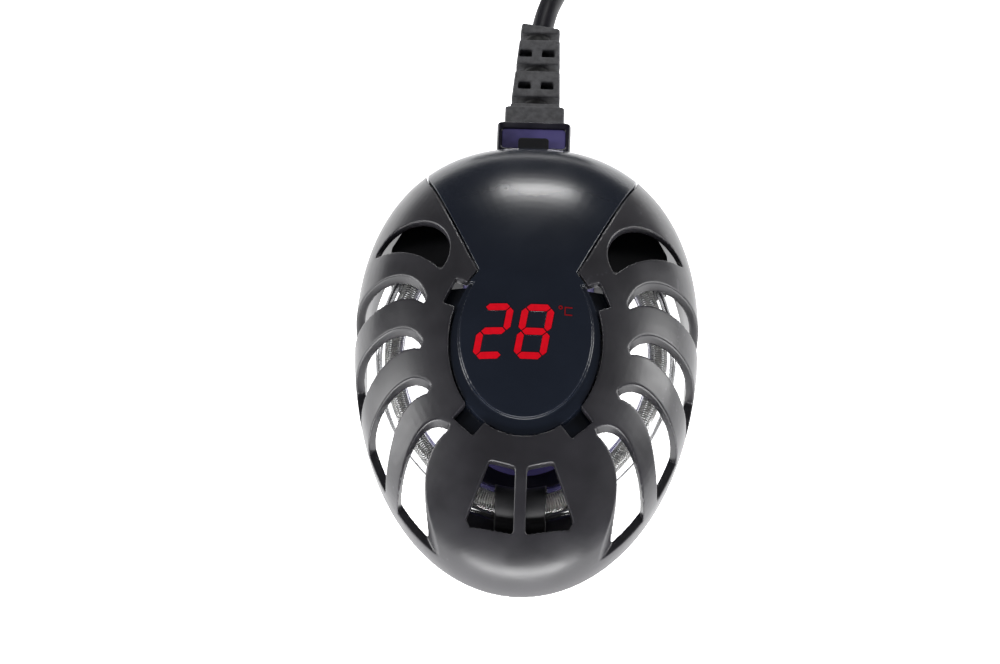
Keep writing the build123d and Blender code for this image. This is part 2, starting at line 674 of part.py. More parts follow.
# ---- suction cups ----
for name, row in zip(("front", "rear"), CUP_ROWS):
    with BuildPart() as cup:
        with BuildSketch(Plane(origin=(0, row, 0), x_dir=(1, 0, 0), z_dir=(0, -1, 0))):
            with BuildLine():
                Polyline(
                    (0, CUP_HOLLOW),
                    (CUP_NECK, CUP_HOLLOW),
                    (CUP_RADIUS - CUP_LIP, 0),
                    (CUP_RADIUS, 0),
                    (CUP_RADIUS, CUP_LIP),
                    (2 * CUP_NECK, CUP_SHOULDER),
                    (CUP_NECK + 1, PLATE_LOW - RUNNING_FIT),
                    (CUP_NECK, PLATE_LOW - RUNNING_FIT),
                    (CUP_NECK, HOUSING_FLOOR + RUNNING_FIT),
                    (CUP_HEAD, HOUSING_FLOOR + RUNNING_FIT),
                    (CUP_HEAD - 1, HOUSING_FLOOR + CUP_HEAD_HEIGHT),
                    (0, HOUSING_FLOOR + CUP_HEAD_HEIGHT),
                    close=True,
                )
            make_face()
        revolve(axis=Axis((0, row, 0), (0, 0, 1)))
    save(cup, f"suction_cup_{name}")

# ---- cable entry: the gland box and the strain relief ----
with BuildPart() as gland_box:
    add(gland_form.part)
    with BuildSketch(Plane.XY.offset(GLAND_TOP)):
        with Locations((0, (GLAND_SINK[0] + GLAND_SINK[1]) / 2)):
            RectangleRounded(GLAND_SINK[2], GLAND_SINK[1] - GLAND_SINK[0], TONGUE_CORNER)
    extrude(amount=-GLAND_SINK[3], mode=Mode.SUBTRACT)
    with BuildSketch(Plane.XZ.offset(-GLAND_OUTER_Y)):
        with Locations((0, CORD_Z)):
            RectangleRounded(RELIEF_STEM[0], RELIEF_STEM[1], TONGUE_CORNER)
    extrude(amount=RELIEF_STEM[2], mode=Mode.SUBTRACT)
    with BuildSketch(Plane.XZ.offset(-GLAND_OUTER_Y)):
        with Locations(*[(side * WIRE_X, CORD_Z) for side in (1, -1)]):
            Circle(WIRE_RADIUS + RUNNING_FIT)
    extrude(amount=CUT_LENGTH, mode=Mode.SUBTRACT)
save(gland_box, "gland_box")

with BuildPart() as gland_window:
    with BuildSketch(Plane.XY.offset(GLAND_TOP - GLAND_SINK[3])):
        with Locations((0, (GLAND_SINK[0] + GLAND_SINK[1]) / 2)):
            RectangleRounded(GLAND_SINK[2], GLAND_SINK[1] - GLAND_SINK[0], TONGUE_CORNER)
    extrude(amount=GLAND_WINDOW_THICKNESS)
save(gland_window, "gland_window")

cord_start = Vector(*LEAD_ROUTE[0])
cord_way = (Vector(*LEAD_ROUTE[1]) - cord_start).normalized()
with BuildPart() as strain_relief:
    with BuildSketch(Plane.XZ.offset(-GLAND_OUTER_Y + RELIEF_STEM[2])):
        with Locations((0, CORD_Z)):
            RectangleRounded(RELIEF_STEM[0], RELIEF_STEM[1], TONGUE_CORNER)
    extrude(amount=-RELIEF_STEM[2])
    with BuildSketch(Plane.XZ.offset(-GLAND_OUTER_Y)):
        with Locations((0, CORD_Z)):
            RectangleRounded(RELIEF_COLLAR[0], RELIEF_COLLAR[1], TONGUE_CORNER)
    extrude(amount=-RELIEF_COLLAR[2])
    with BuildSketch(Plane.XZ.offset(-GLAND_OUTER_Y - RELIEF_COLLAR[2])):
        with Locations((0, CORD_Z)):
            RectangleRounded(RELIEF_ROOT[0], RELIEF_ROOT[1], TONGUE_CORNER)
    with BuildSketch(Plane(origin=cord_start, x_dir=(cord_way.Y, -cord_way.X, 0), z_dir=-cord_way)):
        RectangleRounded(RELIEF_TIP[0], RELIEF_TIP[1], TONGUE_CORNER)
    loft()
    for index, slot_y in enumerate(RELIEF_SLOTS):
        with BuildSketch(Plane.XZ.offset(-GLAND_OUTER_Y - slot_y)):
            with Locations((0, CORD_Z)):
                if index % 2:
                    with Locations((RELIEF_WINDOW[0], 0), (-RELIEF_WINDOW[0], 0)):
                        Rectangle(RELIEF_WINDOW[1], CUT_LENGTH)
                    Rectangle(CUT_LENGTH, 2 * RELIEF_WINDOW[2], mode=Mode.SUBTRACT)
                else:
                    Rectangle(CUT_LENGTH, CUT_LENGTH)
                    Circle(RELIEF_CORE, mode=Mode.SUBTRACT)
        extrude(amount=-RELIEF_SLOT, mode=Mode.SUBTRACT)
save(strain_relief, "strain_relief")

# ---- supply wires from the gland to the terminal block ----
with BuildPart() as supply_wires:
    for side in (1, -1):
        with BuildLine(mode=Mode.PRIVATE) as wire_line:
            FilletPolyline(
                (side * WIRE_X, WIRE_START_Y, CORD_Z),
                (side * WIRE_X, WIRE_RISE_Y[0], CORD_Z),
                (side * WIRE_X, WIRE_RISE_Y[1], WIRE_END_Z),
                (side * WIRE_X, WIRE_END_Y, WIRE_END_Z),
                radius=LEAD_BEND,
            )
        add(rod_along(wire_line.line, WIRE_RADIUS))
save(supply_wires, "supply_wires")


# ---- cord: its uncoiled tube, its coil, the tie round the coil, the tail and the plug ----
def corner_radii(route):
    """The radius of each corner: as large as its two runs leave room for."""
    points = [Vector(*point) for point in route]
    radii = []
    for before, here, after in zip(points, points[1:], points[2:]):
        first, second = here - before, after - here
        half_turn = math.radians(first.get_angle(second)) / 2
        radii.append(CORNER_SHARE * min(first.length, second.length) / math.tan(half_turn))
    return radii


for name, route in (("cord_lead", LEAD_ROUTE), ("cord_tail", TAIL_ROUTE)):
    radii = corner_radii(route)
    with BuildLine() as route_line:
        FilletPolyline(*route, radius=radii)
    with BuildPart() as tube:
        add(rod_along(route_line.line, CORD / 2))
    length = sum(edge.length for edge in route_line.edges())
    section = math.pi * (CORD / 2) ** 2
    print(name, "radii", [round(radius) for radius in radii], "length", round(length))
    print(name, "volume share", round(tube.part.volume / (section * length), 4))
    save(tube, name)

tie_x = COIL_CENTRE[0] - (COIL_INNER + COIL_OUTER) / 2
tie_width = COIL_OUTER - COIL_INNER + 2 * TIE_THICKNESS
with BuildPart() as cord_tie:
    with BuildSketch(Plane.XZ.offset(-COIL_CENTRE[1] - TIE_LENGTH / 2)):
        with Locations((tie_x, (COIL_HEIGHT + TIE_THICKNESS) / 2)):
            RectangleRounded(tie_width, COIL_HEIGHT + TIE_THICKNESS, TIE_CORNER)
        with Locations((tie_x, COIL_HEIGHT / 2 + TIE_THICKNESS / 2)):
            Rectangle(tie_width - 2 * TIE_THICKNESS, COIL_HEIGHT - TIE_THICKNESS, mode=Mode.SUBTRACT)
    extrude(amount=TIE_LENGTH)
save(cord_tie, "cord_tie")

with BuildPart() as cord_coil:
    with BuildSketch() as ring:
        with Locations(COIL_CENTRE):
            Circle(COIL_OUTER)
            Circle(COIL_INNER, mode=Mode.SUBTRACT)
    extrude(amount=COIL_HEIGHT)
    fillet(cord_coil.edges(), COIL_CORNER)
    add(cord_tie.part, mode=Mode.SUBTRACT)
save(cord_coil, "cord_coil")

plug_start = Vector(*TAIL_ROUTE[-1])
with BuildPart() as plug_body:
    for length, (width, height) in PLUG_SECTIONS:
        with BuildSketch(Plane(origin=plug_start + Vector(0, length, 0), x_dir=(1, 0, 0), z_dir=(0, 1, 0))):
            RectangleRounded(width, height, PLUG_CORNER)
    loft(ruled=True)
save(plug_body, "plug_body")

plug_face = plug_start + Vector(0, PLUG_SECTIONS[-1][0], 0)
with BuildPart() as plug_pins:
    with BuildSketch(Plane(origin=plug_face, x_dir=(1, 0, 0), z_dir=(0, 1, 0))):
        with Locations((PIN_SPACING / 2, 0), (-PIN_SPACING / 2, 0)):
            Circle(PIN_RADIUS)
    extrude(amount=PIN_LENGTH)
    fillet(plug_pins.faces().sort_by(Axis.Y)[-2:].edges(), PIN_RADIUS / 2)
save(plug_pins, "plug_pins")
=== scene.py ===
import json
import math

import bmesh
import bpy
import numpy as np
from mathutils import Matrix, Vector


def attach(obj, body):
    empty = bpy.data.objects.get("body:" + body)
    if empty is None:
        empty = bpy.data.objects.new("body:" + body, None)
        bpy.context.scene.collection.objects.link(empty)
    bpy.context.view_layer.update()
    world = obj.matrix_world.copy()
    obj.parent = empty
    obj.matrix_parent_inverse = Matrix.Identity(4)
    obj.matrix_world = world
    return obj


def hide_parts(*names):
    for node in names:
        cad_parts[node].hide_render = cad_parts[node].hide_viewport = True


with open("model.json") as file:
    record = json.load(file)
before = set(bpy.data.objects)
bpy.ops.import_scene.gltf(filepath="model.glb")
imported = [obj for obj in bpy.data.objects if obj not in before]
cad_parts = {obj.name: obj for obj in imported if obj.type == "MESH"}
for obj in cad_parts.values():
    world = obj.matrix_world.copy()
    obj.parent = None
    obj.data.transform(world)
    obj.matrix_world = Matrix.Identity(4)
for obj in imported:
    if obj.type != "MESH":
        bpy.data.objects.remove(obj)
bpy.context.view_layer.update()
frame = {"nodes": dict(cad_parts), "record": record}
nodes = frame["nodes"]
scene = bpy.context.scene
MM = 0.001  # sizes are in millimetres, except the camera's, the floor's and the lights'

# ---- camera: from the nose side, well above the heater ----
TARGET = Vector((-0.00687, 0.0051, 0.020))
CAMERA_DISTANCE = 1.2
CAMERA_ELEVATION = math.radians(58.4)
CAMERA_AZIMUTH = math.radians(2.0)
LENS = 168.3
SENSOR = 36.0

camera_data = bpy.data.cameras.new("camera")
camera_data.lens = LENS
camera_data.sensor_width = SENSOR
camera = bpy.data.objects.new("camera", camera_data)
scene.collection.objects.link(camera)
level = math.cos(CAMERA_ELEVATION)
direction = Vector(
    (level * math.sin(CAMERA_AZIMUTH), -level * math.cos(CAMERA_AZIMUTH), math.sin(CAMERA_ELEVATION))
)
camera.location = TARGET + CAMERA_DISTANCE * direction
camera.rotation_euler = direction.to_track_quat("Z", "Y").to_euler()
scene.camera = camera
scene.view_settings.view_transform = "Standard"


# ---- materials ----
class Graph:
    """A material's node tree, with short ways to add nodes and join them."""

    def __init__(self, name):
        self.material = bpy.data.materials.new(name)
        self.material.use_nodes = True
        self.tree = self.material.node_tree
        self.tree.nodes.clear()
        self.output = self.tree.nodes.new("ShaderNodeOutputMaterial")
        self.place = self.tree.nodes.new("ShaderNodeTexCoord").outputs["Object"]

    def node(self, kind, inputs=None, **settings):
        made = self.tree.nodes.new(kind)
        for key, value in settings.items():
            setattr(made, key, value)
        for key, value in (inputs or {}).items():
            self.set(made.inputs[key], value)
        return made

    def set(self, socket, value):
        if isinstance(value, bpy.types.NodeSocket):
            self.tree.links.new(value, socket)
        else:
            socket.default_value = value

    def noise(self, size_mm, detail=3.0, stretch=None):
        """A noise whose blotches are about size_mm across."""
        place = self.place
        if stretch:
            place = self.node("ShaderNodeMapping", {"Vector": place, "Scale": stretch}).outputs["Vector"]
        inputs = {"Vector": place, "Scale": 1 / (size_mm * MM), "Detail": detail}
        return self.node("ShaderNodeTexNoise", inputs).outputs["Fac"]

    def span(self, value, low, high, start=0.35, end=0.65):
        """Maps a noise to the numbers from low to high."""
        inputs = {"Value": value, "From Min": start, "From Max": end, "To Min": low, "To Max": high}
        return self.node("ShaderNodeMapRange", inputs).outputs["Result"]

    def mix(self, share, first, second):
        mixer = self.node("ShaderNodeMix", data_type="RGBA")
        self.set(mixer.inputs[0], share)
        self.set(mixer.inputs[6], first)
        self.set(mixer.inputs[7], second)
        return mixer.outputs[2]

    def product(self, first, second):
        return self.node("ShaderNodeMath", {0: first, 1: second}, operation="MULTIPLY").outputs[0]

    def vector_math(self, operation, *values):
        return self.node("ShaderNodeVectorMath", dict(enumerate(values)), operation=operation).outputs

    def bump(self, height, depth_mm):
        inputs = {"Height": height, "Strength": 1.0, "Distance": depth_mm * MM}
        return self.node("ShaderNodeBump", inputs).outputs["Normal"]

    def finish(self, inputs):
        shader = self.node("ShaderNodeBsdfPrincipled", inputs)
        self.tree.links.new(shader.outputs["BSDF"], self.output.inputs["Surface"])
        return self.material


def shade(colour, factor):
    """A colour made lighter or darker, with its alpha."""
    return tuple(min(1.0, channel * factor) for channel in colour) + (1.0,)


PALE_EDGE_POINTINESS = (0.52, 0.62)  # the pointiness at which the pale edges, part wear and part painted highlight, start and where they are full
# how much paler the edges get: partly wear, partly a painted highlight
PALE_EDGE_LIGHTENING = 3.2
PALE_EDGE_PATCH_MM = 3
LEAST_PALE_EDGE = 0.4
# how dark the painted shade in deep slots gets
PAINTED_SLOT_SHADE = 0.15
SMEAR_MM = 7


def moulded(
    name,
    colour,
    roughness,
    grain_mm=0.35,
    grain_depth=0.006,
    cloud_mm=14,
    vary=0.18,
    wear=0.0,
    hollow_mm=None,
    smear=0.05,
    **shader,
):
    """Moulded plastic or rubber: cloudy colour, fine surface grain, uneven gloss and paler edges, which are
    partly wear and partly a painted highlight.

    The painted slot shade is given as the height of an axis along Y and two radii round it, the inner one
    first.
    Painted shade darkens the surface from the outer radius to the inner one, standing in for the shadow in
    deep slots.
    """
    graph = Graph(name)
    clouds = graph.span(graph.noise(cloud_mm), 0, 1)
    body = graph.mix(clouds, shade(colour, 1 - vary), shade(colour, 1 + vary))
    # paler convex edges: partly rubbed wear, partly a painted highlight standing in for the light that
    # rounded edges catch
    if wear:
        edge = graph.node("ShaderNodeNewGeometry").outputs["Pointiness"]
        pale_edges = graph.span(edge, 0, wear, *PALE_EDGE_POINTINESS)
        patches = graph.span(graph.noise(PALE_EDGE_PATCH_MM), LEAST_PALE_EDGE, 1)
        body = graph.mix(graph.product(pale_edges, patches), body, shade(colour, PALE_EDGE_LIGHTENING))
    # painted shade: darkens the surface towards a round core, standing in for the shadow in deep slots
    if hollow_mm:
        axis_height, inner, outer = (number * MM for number in hollow_mm)
        raised = graph.vector_math("SUBTRACT", graph.place, (0, 0, axis_height))["Vector"]
        across = graph.vector_math("MULTIPLY", raised, (1, 0, 1))["Vector"]
        radius = graph.vector_math("LENGTH", across)["Value"]
        depth = graph.span(radius, 1, 0, inner, outer)
        body = graph.mix(depth, body, shade(colour, PAINTED_SLOT_SHADE))
    grain = graph.bump(graph.noise(grain_mm, 2), grain_depth)
    smears = graph.span(graph.noise(SMEAR_MM, 4), roughness - smear, roughness + smear)
    inputs = {"Base Color": body, "Roughness": smears, "Normal": grain}
    inputs.update(shader)
    return graph.finish(inputs)


SCRATCH_MM = 0.25
SCRATCH_DEPTH = 0.004
SCRATCH_ROUGHNESS = (-0.06, 0.1)
TARNISH_MM = 4
TARNISH_SHADES = (0.82, 1.05)


def metal(name, colour, roughness, brush, metallic):
    """Drawn or plated metal with fine scratches stretched along one way."""
    graph = Graph(name)
    scratches = graph.noise(SCRATCH_MM, stretch=brush)
    tarnish = graph.span(graph.noise(TARNISH_MM), 0, 1)
    smoothest, roughest = (roughness + change for change in SCRATCH_ROUGHNESS)
    return graph.finish(
        {
            "Base Color": graph.mix(tarnish, *(shade(colour, factor) for factor in TARNISH_SHADES)),
            "Metallic": metallic,
            "Roughness": graph.span(scratches, smoothest, roughest),
            "Normal": graph.bump(scratches, SCRATCH_DEPTH),
        }
    )


DRAWN_LINE_MM = 1.6
DRAWN_LINE_DEPTH = 0.01
QUARTZ_IOR = 1.46


def clear_quartz():
    """Clear fused tube: faint drawn lines and a slight unevenness."""
    graph = Graph("quartz")
    lines = graph.noise(DRAWN_LINE_MM, 2)
    return graph.finish(
        {
            "Base Color": graph.mix(graph.span(lines, 0, 1), (0.95, 0.96, 0.97, 1), (1, 1, 1, 1)),
            "Roughness": graph.span(graph.noise(5), 0.01, 0.05),
            "Transmission Weight": 1.0,
            "IOR": QUARTZ_IOR,
            "Normal": graph.bump(lines, DRAWN_LINE_DEPTH),
        }
    )


UNIT_SIGN_X = (7.5, 7.8)  # between the last digit and the unit sign
UNIT_SIGN_SHARE = 0.2


def lit_red():
    """The display's bars: bright red, with the small unit sign dimmer."""
    graph = Graph("red_light")
    across = graph.node("ShaderNodeSeparateXYZ", {"Vector": graph.place}).outputs["X"]
    dim = graph.span(across, 1.0, UNIT_SIGN_SHARE, UNIT_SIGN_X[0] * MM, UNIT_SIGN_X[1] * MM)
    uneven = graph.span(graph.noise(1.2), 0.9, 1.05)
    return graph.finish(
        {
            "Base Color": (0.12, 0.0, 0.002, 1),
            "Roughness": 0.3,
            "Emission Color": (0.52, 0.0, 0.008, 1),
            "Emission Strength": graph.product(dim, uneven),
        }
    )


GUARD_GREY = (0.024, 0.023, 0.028)
PANEL_NAVY = (0.0115, 0.0155, 0.0265)
VIOLET = (0.070, 0.060, 0.180)
BLACK = (0.012, 0.012, 0.014)
RELIEF_GREY = (0.074, 0.074, 0.080)
CORD_AXIS_Z = 20.5
RELIEF_PAINTED_SHADE_RADII = (3.2, 3.9)  # the relief's round core, where the painted shade in its slots is full, and the radius where it begins

# slot: colour, roughness and what differs from plain moulding
MOULDED = {
    "guard_plastic": (
        GUARD_GREY,
        0.33,
        {"grain_depth": 0.004, "wear": 0.5, "smear": 0.03, "Specular IOR Level": 0.8},
    ),
    "panel_plastic": (
        PANEL_NAVY,
        0.24,
        {"grain_mm": 1.5, "grain_depth": 0.0008, "vary": 0.06, "smear": 0.015},
    ),
    "housing_plastic": (BLACK, 0.42, {"wear": 0.3}),
    "housing_violet": (
        VIOLET,
        0.2,
        {
            "grain_depth": 0.002,
            "vary": 0.3,
            # painted glow: the violet plastic is no lamp; this faint emission brightens its shaded inside
            "Emission Color": shade(VIOLET, 2),
            "Emission Strength": 0.12,
        },
    ),
    "seal_rubber": (BLACK, 0.55, {"grain_mm": 0.5, "grain_depth": 0.012, "wear": 0.2}),
    "tube_plug_ceramic": ((0.62, 0.60, 0.55), 0.6, {"grain_depth": 0.02}),
    "lead_insulation": ((0.55, 0.53, 0.50), 0.5, {}),
    "board_laminate": ((0.02, 0.14, 0.05), 0.35, {"grain_mm": 0.6}),
    "display_block": ((0.03, 0.03, 0.032), 0.4, {}),
    "relay_case": ((0.04, 0.10, 0.30), 0.35, {}),
    "capacitor_case": ((0.42, 0.15, 0.04), 0.3, {}),
    "terminal_plastic": ((0.07, 0.25, 0.10), 0.4, {}),
    "sensor_bead": ((0.03, 0.03, 0.03), 0.2, {}),
    "cup_rubber": ((0.030, 0.030, 0.034), 0.25, {"grain_mm": 1.2, "grain_depth": 0.01, "Coat Weight": 0.2}),
    "gland_plastic": (
        (0.009, 0.008, 0.016),
        0.22,
        {"grain_mm": 1.0, "grain_depth": 0.003, "vary": 0.3, "wear": 0.2},
    ),
    "gland_violet": (
        VIOLET,
        0.2,
        {"grain_mm": 2.5, "grain_depth": 0.02, "vary": 0.5, "Coat Weight": 0.5, "Coat Roughness": 0.08},
    ),
    "tongue_plastic": ((0.004, 0.004, 0.006), 0.6, {"wear": 0.1, "Specular IOR Level": 0.2}),
    "relief_rubber": (
        RELIEF_GREY,
        0.55,
        {
            "grain_mm": 0.8,
            "grain_depth": 0.05,
            "cloud_mm": 1.6,
            "vary": 0.3,
            "wear": 0.5,
            # painted shade in the relief's slots
            "hollow_mm": (CORD_AXIS_Z, *RELIEF_PAINTED_SHADE_RADII),
        },
    ),
    "wire_insulation": ((0.22, 0.08, 0.04), 0.4, {}),
    "cord_rubber": (
        (0.008, 0.0075, 0.012),
        0.45,
        {"grain_mm": 0.5, "grain_depth": 0.008, "vary": 0.25, "Specular IOR Level": 0.2},
    ),
    "tie_rubber": ((0.025, 0.025, 0.028), 0.6, {"grain_mm": 0.5, "grain_depth": 0.02}),
    "plug_plastic": ((0.020, 0.020, 0.024), 0.42, {"grain_depth": 0.01, "wear": 0.25}),
}

# slot: colour, roughness, the stretch of the scratches and how metallic it is
METALS = {
    "resistance_wire": ((0.88, 0.87, 0.85), 0.4, (1, 1, 6), 0.4),
    "fuse_case": ((0.62, 0.60, 0.53), 0.3, (1, 8, 1), 1.0),
    "screw_steel": ((0.60, 0.60, 0.61), 0.3, (1, 1, 5), 1.0),
    "pin_brass": ((0.55, 0.52, 0.46), 0.26, (1, 6, 1), 1.0),
}

materials = {"quartz": clear_quartz(), "red_light": lit_red()}
for name, (colour, roughness, options) in MOULDED.items():
    materials[name] = moulded(name, colour, roughness, **options)
for name, values in METALS.items():
    materials[name] = metal(name, *values)

slot_of = {entry["node"]: entry["material_slot"] for entry in frame["record"]["subparts"]}
bodies = frame["record"]["behaviour"]["bodies"]
body_of = {member: body for body, members in bodies.items() for member in members}
for name, node in nodes.items():
    node.data.materials.clear()
    node.data.materials.append(materials[slot_of[name]])


# ---- making pieces ----
def add_piece(name, mesh, replaced, material=None, smooth=True):
    """Links a new piece that stands for CAD nodes and rides on the first one's body."""
    piece = bpy.data.objects.new(name, mesh)
    scene.collection.objects.link(piece)
    slot = slot_of[replaced[0]]
    mesh.materials.clear()
    mesh.materials.append(material or materials[slot])
    if smooth:
        mesh.polygons.foreach_set("use_smooth", [True] * len(mesh.polygons))
    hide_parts(*replaced)
    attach(piece, body_of[replaced[0]])
    return piece


WELD = 0.002


def softened(name, replaced, voxel_mm, rounds, material=None):
    """CAD nodes joined into one dense skin whose edges are rounded as a mould leaves them."""
    merged = bmesh.new()
    for node_name in replaced:
        merged.from_mesh(nodes[node_name].data)
    bmesh.ops.remove_doubles(merged, verts=merged.verts, dist=WELD * MM)
    rough = bpy.data.meshes.new(name + "_rough")
    merged.to_mesh(rough)
    merged.free()
    carrier = bpy.data.objects.new(name + "_rough", rough)
    scene.collection.objects.link(carrier)
    remesh = carrier.modifiers.new("skin", "REMESH")
    remesh.mode = "VOXEL"
    remesh.voxel_size = voxel_mm * MM
    rounding = carrier.modifiers.new("rounding", "SMOOTH")
    rounding.factor = 0.5
    rounding.iterations = rounds
    depsgraph = bpy.context.evaluated_depsgraph_get()
    mesh = bpy.data.meshes.new_from_object(carrier.evaluated_get(depsgraph))
    bpy.data.objects.remove(carrier)
    mesh.name = name
    return add_piece(name, mesh, replaced, material)


def ring_mesh(name, rings, closed_ends=False):
    """A mesh through rings of points, each an array of (count, 3), joined one to the next."""
    count = len(rings[0])
    vertices = np.concatenate(rings)
    faces = []
    for ring in range(len(rings) - 1):
        for index in range(count):
            following = (index + 1) % count
            low, high = ring * count, (ring + 1) * count
            faces.append((low + index, low + following, high + following, high + index))
    if closed_ends:
        faces.append(tuple(reversed(range(count))))
        faces.append(tuple(range((len(rings) - 1) * count, len(rings) * count)))
    mesh = bpy.data.meshes.new(name)
    mesh.from_pydata(vertices.tolist(), [], faces)
    mesh.update()
    return mesh


# ---- guard, panel and body ----
softened("ribbed_guard", ["guard"], 0.25, 8)
softened("top_panel", ["housing_top"], 0.22, 6)
softened("lower_body", ["housing_bottom"], 0.4, 3, materials["housing_violet"])
softened("base_plate", ["base_frame"], 0.4, 3)
for side in ("left", "right"):
    softened(f"tube_seal_{side}", [f"seal_block_{side}"], 0.35, 5)
softened("tube_saddle", ["tube_holder"], 0.3, 4)
softened("cable_gland", ["gland_box"], 0.25, 4)
softened("gland_insert", ["gland_window"], 0.15, 2)
softened("gland_tongue", ["rear_tongue"], 0.2, 4)

DIGIT_LIFT = 0.06  # keeps the bars over the panel's skin
digit_mesh = nodes["display_digits"].data.copy()
for vertex in digit_mesh.vertices:
    vertex.co.z += DIGIT_LIFT * MM
add_piece("lit_digits", digit_mesh, ["display_digits"], smooth=False)

# ---- quartz tube and the wound heating coil ----
TUBE_Z = 19.1
TUBE_OUTER = 4.25
TUBE_INNER = 3.05
NOSE_BEND = 26.0
NOSE_BEND_Y = -19.7
SIDE_BEND_X = 15.9
SIDE_BEND_Y = -1.2
SIDE_BEND = NOSE_BEND + math.hypot(SIDE_BEND_X, SIDE_BEND_Y - NOSE_BEND_Y)
JOINT_ANGLE = math.atan2(SIDE_BEND_Y - NOSE_BEND_Y, SIDE_BEND_X)
TUBE_END_ANGLE = math.radians(33.0)
COIL_END = 6.0  # bare tube at each end of the wound coil
COIL_RADIUS = 2.15
WIRE_RADIUS = 0.2
WIRE_PITCH = 0.62
COIL_OFFSET = 0.62


def tube_stations(lengths):
    """Points on the tube's line and the outward directions there, from lengths along it in millimetres."""
    side_length = SIDE_BEND * (TUBE_END_ANGLE + JOINT_ANGLE)
    nose_length = NOSE_BEND * (math.pi - 2 * JOINT_ANGLE)
    centres, outward = [], []
    for length in lengths:
        if length < side_length:
            centre, radius = (-SIDE_BEND_X, SIDE_BEND_Y), SIDE_BEND
            angle = TUBE_END_ANGLE - length / SIDE_BEND
        elif length < side_length + nose_length:
            centre, radius = (0, NOSE_BEND_Y), NOSE_BEND
            angle = -JOINT_ANGLE - (length - side_length) / NOSE_BEND
        else:
            centre, radius = (SIDE_BEND_X, SIDE_BEND_Y), SIDE_BEND
            angle = -math.pi + JOINT_ANGLE - (length - side_length - nose_length) / SIDE_BEND
        way = (math.cos(angle), math.sin(angle), 0)
        outward.append(way)
        centres.append((centre[0] + radius * way[0], centre[1] + radius * way[1], TUBE_Z))
    return np.array(centres), np.array(outward)


TUBE_LENGTH = 2 * SIDE_BEND * (TUBE_END_ANGLE + JOINT_ANGLE) + NOSE_BEND * (math.pi - 2 * JOINT_ANGLE)
UP = np.array((0.0, 0.0, 1.0))


def tube_skin(radius, stations=160, around=40):
    """Rings of one wall of the tube."""
    centres, outward = tube_stations(np.linspace(0, TUBE_LENGTH, stations))
    turns = np.linspace(0, 2 * math.pi, around, endpoint=False)[:, None]
    return [(c + radius * (np.cos(turns) * o + np.sin(turns) * UP)) * MM for c, o in zip(centres, outward)]


outer_rings, inner_rings = tube_skin(TUBE_OUTER), tube_skin(TUBE_INNER)
tube_mesh = ring_mesh("u_tube", outer_rings + inner_rings[::-1] + outer_rings[:1])
add_piece("u_tube", tube_mesh, ["quartz_tube"])


def wound_coil():
    """A wire wound in a close helix that lies against the inner side of the tube's bend."""
    steps_per_turn, around = 14, 6
    length = TUBE_LENGTH - 2 * COIL_END
    steps = int(length / WIRE_PITCH * steps_per_turn)
    along = np.linspace(0, length, steps)
    centres, outward = tube_stations(along + COIL_END)
    turns = (2 * math.pi * along / WIRE_PITCH)[:, None]
    radial = np.cos(turns) * outward + np.sin(turns) * UP
    line = centres - COIL_OFFSET * outward + COIL_RADIUS * radial
    forward = np.cross(outward, UP)
    rings = []
    for phase in np.linspace(0, 2 * math.pi, around, endpoint=False):
        rings.append(line + WIRE_RADIUS * (math.cos(phase) * radial + math.sin(phase) * forward))
    return ring_mesh("wound_coil", list(np.stack(rings, axis=1) * MM), closed_ends=True)


add_piece("wound_coil", wound_coil(), ["heating_coil"])

# ---- suction cups ----
for place in ("front", "rear"):
    softened(f"cup_{place}", [f"suction_cup_{place}"], 0.3, 3)

# ---- strain relief, cord, tie and plug ----
relief = softened("cord_relief", ["strain_relief"], 0.2, 4)
tie = softened("coil_tie", ["cord_tie"], 0.25, 4)
plug = softened("mains_plug", ["plug_body"], 0.35, 6)
pins = softened("mains_pins", ["plug_pins"], 0.25, 2)

PLUG_CENTRE = (40.1, 6.9)
GRIP_ROWS = (224.5, 245.5)
GRIP_PITCH = 3.0
GRIP_DEPTH = 0.55
GRIP_SIDE = 14.0
SUNK_HALF = (10.0, 8.0)
SUNK_MIDDLE_Y = 235.0
SUNK_DEPTH = 0.5
SUNK_EDGE = 1.0


def eased(value, start, end):
    """0 before start, 1 after end and a smooth step between them."""
    share = min(1.0, max(0.0, (value - start) / (end - start)))
    return share * share * (3 - 2 * share)


def mould_plug_grip(mesh):
    """Presses ribs into the plug's two sides and a shallow field into its two flat faces."""
    for vertex in mesh.vertices:
        x = vertex.co.x / MM - PLUG_CENTRE[0]
        y = vertex.co.y / MM
        z = vertex.co.z / MM - PLUG_CENTRE[1]
        if GRIP_ROWS[0] < y < GRIP_ROWS[1] and abs(x) > GRIP_SIDE:
            wave = math.sin(math.pi * (y - GRIP_ROWS[0]) / GRIP_PITCH) ** 2
            vertex.co.x -= math.copysign(GRIP_DEPTH * wave, x) * MM
        inside = 1 - eased(abs(x), SUNK_HALF[0] - SUNK_EDGE, SUNK_HALF[0])
        inside *= 1 - eased(abs(y - SUNK_MIDDLE_Y), SUNK_HALF[1] - SUNK_EDGE, SUNK_HALF[1])
        vertex.co.z -= math.copysign(SUNK_DEPTH * inside, z) * MM


mould_plug_grip(plug.data)

CORD_DIAMETER = 5.8
COIL_CENTRE = (-2.5, 172.0)
LANES = (38.0, 32.1, 26.2)
LOW_LAYER, HIGH_LAYER = 2.95, 8.85
POINTS_A_TURN = 16
# angles in degrees, counted on through the turns
LANE_CHANGES_IN = ((315, 360), (675, 720))
CLIMB = (965, 1050)
LANE_CHANGES_OUT = ((1415, 1460), (1775, 1820))
COIL_END_ANGLE = 2135
LEAD_ROUTE = (
    (0.0, 93.2, CORD_AXIS_Z),
    (0.7, 98.0, 20.3),
    (2.5, 109, 18.6),
    (6.5, 121.5, 13.0),
    (13.8, 134, 6.6),
    (24.6, 146.6, 3.4),
    (32.9, 159.6, 2.95),
)
TAIL_ROUTE = ((37.2, 167.8, 8.6), (40.1, 181.5, 6.9), (40.1, 193.5, 6.9), (40.1, 199.5, 6.9))


